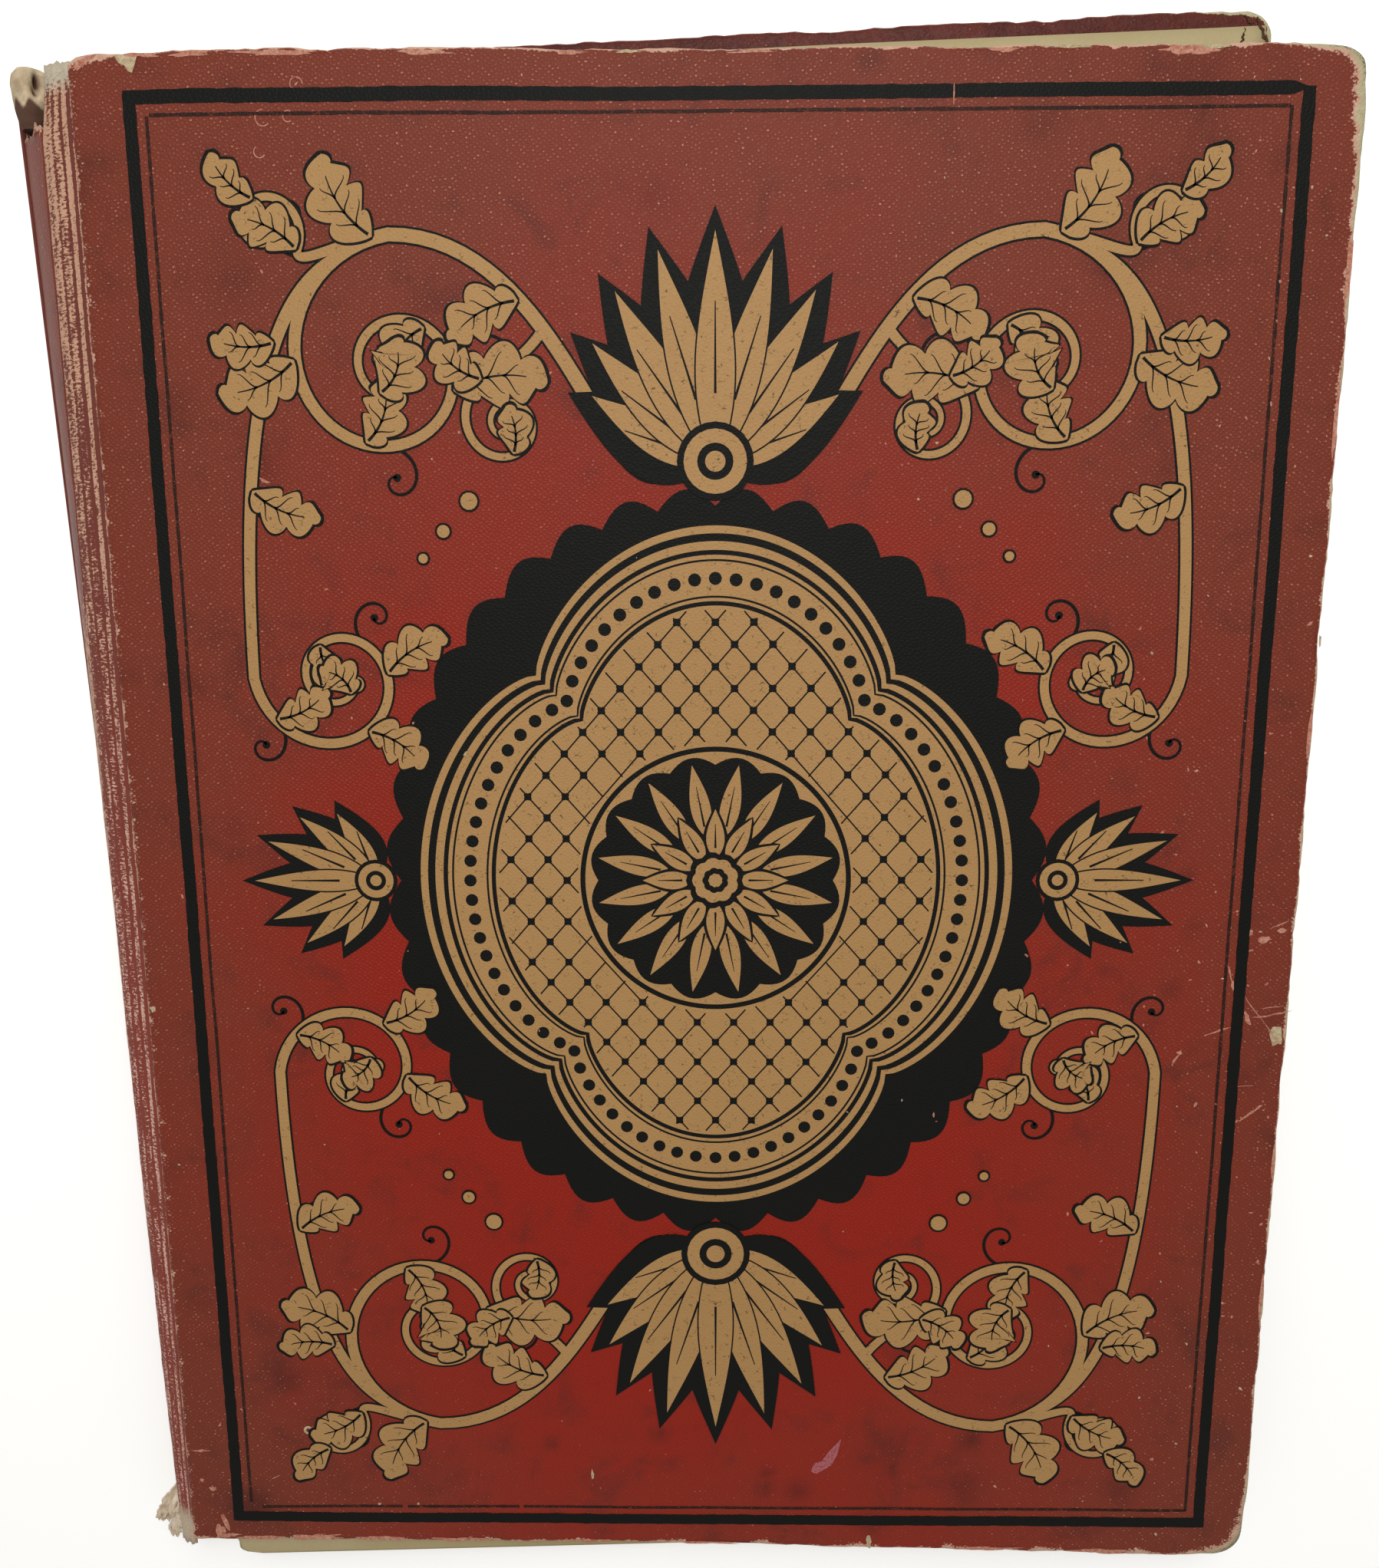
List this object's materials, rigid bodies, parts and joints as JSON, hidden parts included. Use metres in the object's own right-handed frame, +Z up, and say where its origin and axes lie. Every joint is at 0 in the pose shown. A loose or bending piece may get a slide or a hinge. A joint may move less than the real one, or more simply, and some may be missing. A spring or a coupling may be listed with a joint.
{
  "type": "stamp album",
  "caption": "Large cloth-bound album for postage stamps, with two hinged covers, a sewn spine, end leaves, single leaves and gathered sections that fan open.",
  "frame": {"origin": "centre of the back cover's outer face, which lies on the surface below", "axes": "+X from the spine to the fore-edge, +Y from the tail to the head, +Z up through the leaves to the front cover"},
  "size_m": [0.2445, 0.3081, 0.016],
  "materials": {
    "red_cloth": "pebble-grained, slightly glossy on the grain, rubbed at the edges",
    "millboard": "dull grey board",
    "endpaper": "plain cream paper, foxed",
    "leaf_paper": "matt album paper, toned at the edges",
    "guard_paper": "matt paper strips",
    "kraft_paper": "brown kraft paper",
    "core_paper": "rolled paper, worn fuzzy",
    "gauze": "open gauze, glue-stiffened",
    "linen_tape": "plain woven tape",
    "linen_thread": "waxed linen thread"
  },
  "bodies": {
    "text_block": {"spine_cloth": "red_cloth", "spine_inlay": "millboard", "spine_lining": "kraft_paper", "spine_mull": "gauze", "sewing_tapes": "linen_tape", "sewing_thread": "linen_thread", "section_folds": "leaf_paper", "guard_strips": "guard_paper", "head_core": "core_paper", "tail_core": "core_paper"},
    "front_cover": {"front_cover_cloth": "red_cloth", "front_board": "millboard", "front_mull": "gauze", "front_tape_ends": "linen_tape", "front_pastedown": "endpaper"},
    "back_cover": {"back_cover_cloth": "red_cloth", "back_board": "millboard", "back_mull": "gauze", "back_tape_ends": "linen_tape", "back_pastedown": "endpaper"},
    "turning_front_flyleaf": {"front_flyleaf": "endpaper"},
    "turning_title_leaf": {"title_leaf": "leaf_paper"},
    "turning_leaf_1": {"leaf_1": "leaf_paper"},
    "turning_leaf_2": {"leaf_2": "leaf_paper"},
    "turning_leaf_3": {"leaf_3": "leaf_paper"},
    "turning_leaf_4": {"leaf_4": "leaf_paper"},
    "turning_section_1": {"section_1": "leaf_paper"},
    "turning_section_2": {"section_2": "leaf_paper"},
    "turning_section_3": {"section_3": "leaf_paper"},
    "turning_section_4": {"section_4": "leaf_paper"},
    "turning_section_5": {"section_5": "leaf_paper"},
    "turning_back_flyleaf": {"back_flyleaf": "endpaper"}
  },
  "joints": [
    {"name": "front_cover_hinge", "type": "hinge", "parent": "text_block", "child": "front_cover", "pos_m": [-0.1121, 0.00007, 0.0138], "axis": [-0.0366, -0.9993, 0], "range_deg": [0, 179]},
    {"name": "back_cover_hinge", "type": "hinge", "parent": "text_block", "child": "back_cover", "pos_m": [-0.1176, 0, 0.0033], "axis": [0, 1, 0], "range_deg": [0, 179]},
    {"name": "front_flyleaf_turn", "type": "hinge", "parent": "text_block", "child": "turning_front_flyleaf", "pos_m": [-0.1048, 0, 0.0139], "axis": [0, -1, 0], "range_deg": [0, 174.1]},
    {"name": "title_leaf_turn", "type": "hinge", "parent": "text_block", "child": "turning_title_leaf", "pos_m": [-0.1048, 0, 0.0139], "axis": [0, -1, 0], "range_deg": [0, 165.2]},
    {"name": "leaf_1_turn", "type": "hinge", "parent": "text_block", "child": "turning_leaf_1", "pos_m": [-0.1048, 0, 0.0139], "axis": [0, -1, 0], "range_deg": [0, 152.7]},
    {"name": "leaf_2_turn", "type": "hinge", "parent": "text_block", "child": "turning_leaf_2", "pos_m": [-0.1048, 0, 0.0139], "axis": [0, -1, 0], "range_deg": [0, 138.3]},
    {"name": "leaf_3_turn", "type": "hinge", "parent": "text_block", "child": "turning_leaf_3", "pos_m": [-0.1048, 0, 0.0139], "axis": [0, -1, 0], "range_deg": [0, 124]},
    {"name": "leaf_4_turn", "type": "hinge", "parent": "text_block", "child": "turning_leaf_4", "pos_m": [-0.1048, 0, 0.0139], "axis": [0, -1, 0], "range_deg": [0, 107.9]},
    {"name": "section_1_turn", "type": "hinge", "parent": "text_block", "child": "turning_section_1", "pos_m": [-0.1048, 0, 0.0139], "axis": [0, -1, 0], "range_deg": [0, 90]},
    {"name": "section_2_turn", "type": "hinge", "parent": "text_block", "child": "turning_section_2", "pos_m": [-0.1048, 0, 0.0139], "axis": [0, -1, 0], "range_deg": [0, 72.1]},
    {"name": "section_3_turn", "type": "hinge", "parent": "text_block", "child": "turning_section_3", "pos_m": [-0.1048, 0, 0.0139], "axis": [0, -1, 0], "range_deg": [0, 54.2]},
    {"name": "section_4_turn", "type": "hinge", "parent": "text_block", "child": "turning_section_4", "pos_m": [-0.1048, 0, 0.0139], "axis": [0, -1, 0], "range_deg": [0, 36.3]},
    {"name": "section_5_turn", "type": "hinge", "parent": "text_block", "child": "turning_section_5", "pos_m": [-0.1048, 0, 0.0139], "axis": [0, -1, 0], "range_deg": [0, 18.4]},
    {"name": "back_flyleaf_turn", "type": "hinge", "parent": "text_block", "child": "turning_back_flyleaf", "pos_m": [-0.1048, 0, 0.0139], "axis": [0, -1, 0], "range_deg": [0, 5.9]}
  ],
  "couplings": [
    {"joint": "front_flyleaf_turn", "follows": "front_cover_hinge", "ratio": 0.97},
    {"joint": "title_leaf_turn", "follows": "front_cover_hinge", "ratio": 0.92},
    {"joint": "leaf_1_turn", "follows": "front_cover_hinge", "ratio": 0.85},
    {"joint": "leaf_2_turn", "follows": "front_cover_hinge", "ratio": 0.77},
    {"joint": "leaf_3_turn", "follows": "front_cover_hinge", "ratio": 0.69},
    {"joint": "leaf_4_turn", "follows": "front_cover_hinge", "ratio": 0.6},
    {"joint": "section_1_turn", "follows": "front_cover_hinge", "ratio": 0.5},
    {"joint": "section_2_turn", "follows": "front_cover_hinge", "ratio": 0.4},
    {"joint": "section_3_turn", "follows": "front_cover_hinge", "ratio": 0.3},
    {"joint": "section_4_turn", "follows": "front_cover_hinge", "ratio": 0.2},
    {"joint": "section_5_turn", "follows": "front_cover_hinge", "ratio": 0.1},
    {"joint": "back_flyleaf_turn", "follows": "front_cover_hinge", "ratio": 0.03}
  ]
}
